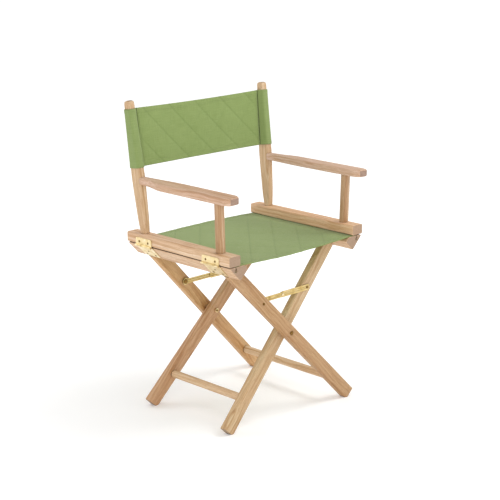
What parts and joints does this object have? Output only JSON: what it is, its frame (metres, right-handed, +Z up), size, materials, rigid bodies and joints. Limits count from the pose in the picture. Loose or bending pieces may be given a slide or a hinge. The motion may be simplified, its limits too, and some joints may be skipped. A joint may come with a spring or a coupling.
{
  "type": "folding chair",
  "caption": "Folding wooden armchair with crossed leg frames, hinged arm frames, brass stays, and canvas slings for the seat and the back.",
  "frame": {"origin": "on the floor, under the middle of the chair", "axes": "+X to the sitter's left, +Y to the back, +Z up"},
  "size_m": [0.5466, 0.4115, 0.8655],
  "materials": {
    "wood": "satin",
    "brass": "satin",
    "canvas": "matte",
    "rod": "matte"
  },
  "bodies": {
    "pivots": {"pivot_bolt_front": "brass", "pivot_bolt_rear": "brass", "pivot_nut_front": "brass", "pivot_nut_rear": "brass", "pivot_spacer_front": "wood", "pivot_spacer_rear": "wood"},
    "outer_frame": {"outer_lower_rail": "wood", "outer_stretcher": "wood", "outer_seat_rod": "rod", "outer_leg_front": "wood", "outer_leg_rear": "wood", "outer_stay_screw_front": "brass", "outer_stay_screw_rear": "brass", "right_lower_leaf_front": "brass", "right_lower_leaf_rear": "brass"},
    "right_arm": {"right_upper_rail": "wood", "right_front_post": "wood", "right_back_post": "wood", "right_armrest": "wood", "right_upper_leaf_front": "brass", "right_upper_leaf_rear": "brass", "right_hinge_pin_front": "brass", "right_hinge_pin_rear": "brass", "right_hinge_screw_a_front": "brass", "right_hinge_screw_a_rear": "brass", "right_hinge_screw_b_front": "brass", "right_hinge_screw_b_rear": "brass", "seat_sling": "canvas", "back_sling": "canvas"},
    "inner_frame": {"inner_lower_rail": "wood", "inner_stretcher": "wood", "inner_seat_rod": "rod", "inner_leg_front": "wood", "inner_leg_rear": "wood", "inner_stay_screw_front": "brass", "inner_stay_screw_rear": "brass", "left_lower_leaf_front": "brass", "left_lower_leaf_rear": "brass"},
    "left_arm": {"left_upper_rail": "wood", "left_front_post": "wood", "left_back_post": "wood", "left_armrest": "wood", "left_upper_leaf_front": "brass", "left_upper_leaf_rear": "brass", "left_hinge_pin_front": "brass", "left_hinge_pin_rear": "brass", "left_hinge_screw_a_front": "brass", "left_hinge_screw_a_rear": "brass", "left_hinge_screw_b_front": "brass", "left_hinge_screw_b_rear": "brass"},
    "outer_stay_front": {"outer_stay_front": "brass", "stay_rivet_front": "brass"},
    "inner_stay_front": {"inner_stay_front": "brass"},
    "outer_stay_rear": {"outer_stay_rear": "brass", "stay_rivet_rear": "brass"},
    "inner_stay_rear": {"inner_stay_rear": "brass"}
  },
  "joints": [
    {"name": "fold", "type": "hinge", "parent": "pivots", "child": "outer_frame", "pos_m": [0, 0, 0.2384], "axis": [0, 1, 0], "range_deg": [0, 36], "deforming": ["seat_sling", "back_sling"]},
    {"name": "inner_frame_fold", "type": "hinge", "parent": "pivots", "child": "inner_frame", "pos_m": [0, 0, 0.2384], "axis": [0, 1, 0], "range_deg": [-36, 0]},
    {"name": "right_arm_hinge", "type": "hinge", "parent": "outer_frame", "child": "right_arm", "pos_m": [-0.26299, 0, 0.4748], "axis": [0, 1, 0], "range_deg": [-36, 0]},
    {"name": "left_arm_hinge", "type": "hinge", "parent": "inner_frame", "child": "left_arm", "pos_m": [0.26299, 0, 0.4748], "axis": [0, 1, 0], "range_deg": [0, 36]},
    {"name": "outer_stay_front_turn", "type": "hinge", "parent": "outer_frame", "child": "outer_stay_front", "pos_m": [-0.1004, -0.14, 0.34093], "axis": [0, 1, 0], "range_deg": [-114.1, 0]},
    {"name": "inner_stay_front_turn", "type": "hinge", "parent": "inner_frame", "child": "inner_stay_front", "pos_m": [0.1004, -0.14, 0.34093], "axis": [0, 1, 0], "range_deg": [0, 114.1]},
    {"name": "outer_stay_rear_turn", "type": "hinge", "parent": "outer_frame", "child": "outer_stay_rear", "pos_m": [-0.1004, 0.14, 0.34093], "axis": [0, 1, 0], "range_deg": [-114.1, 0]},
    {"name": "inner_stay_rear_turn", "type": "hinge", "parent": "inner_frame", "child": "inner_stay_rear", "pos_m": [0.1004, 0.14, 0.34093], "axis": [0, 1, 0], "range_deg": [0, 114.1]}
  ],
  "couplings": [
    {"joint": "inner_frame_fold", "follows": "fold", "ratio": -1},
    {"joint": "right_arm_hinge", "follows": "fold", "ratio": -1},
    {"joint": "left_arm_hinge", "follows": "fold", "ratio": 1},
    {"joint": "outer_stay_front_turn", "follows": "fold", "ratio": -3.1652},
    {"joint": "inner_stay_front_turn", "follows": "fold", "ratio": 3.1652},
    {"joint": "outer_stay_rear_turn", "follows": "fold", "ratio": -3.1652},
    {"joint": "inner_stay_rear_turn", "follows": "fold", "ratio": 3.1652}
  ]
}
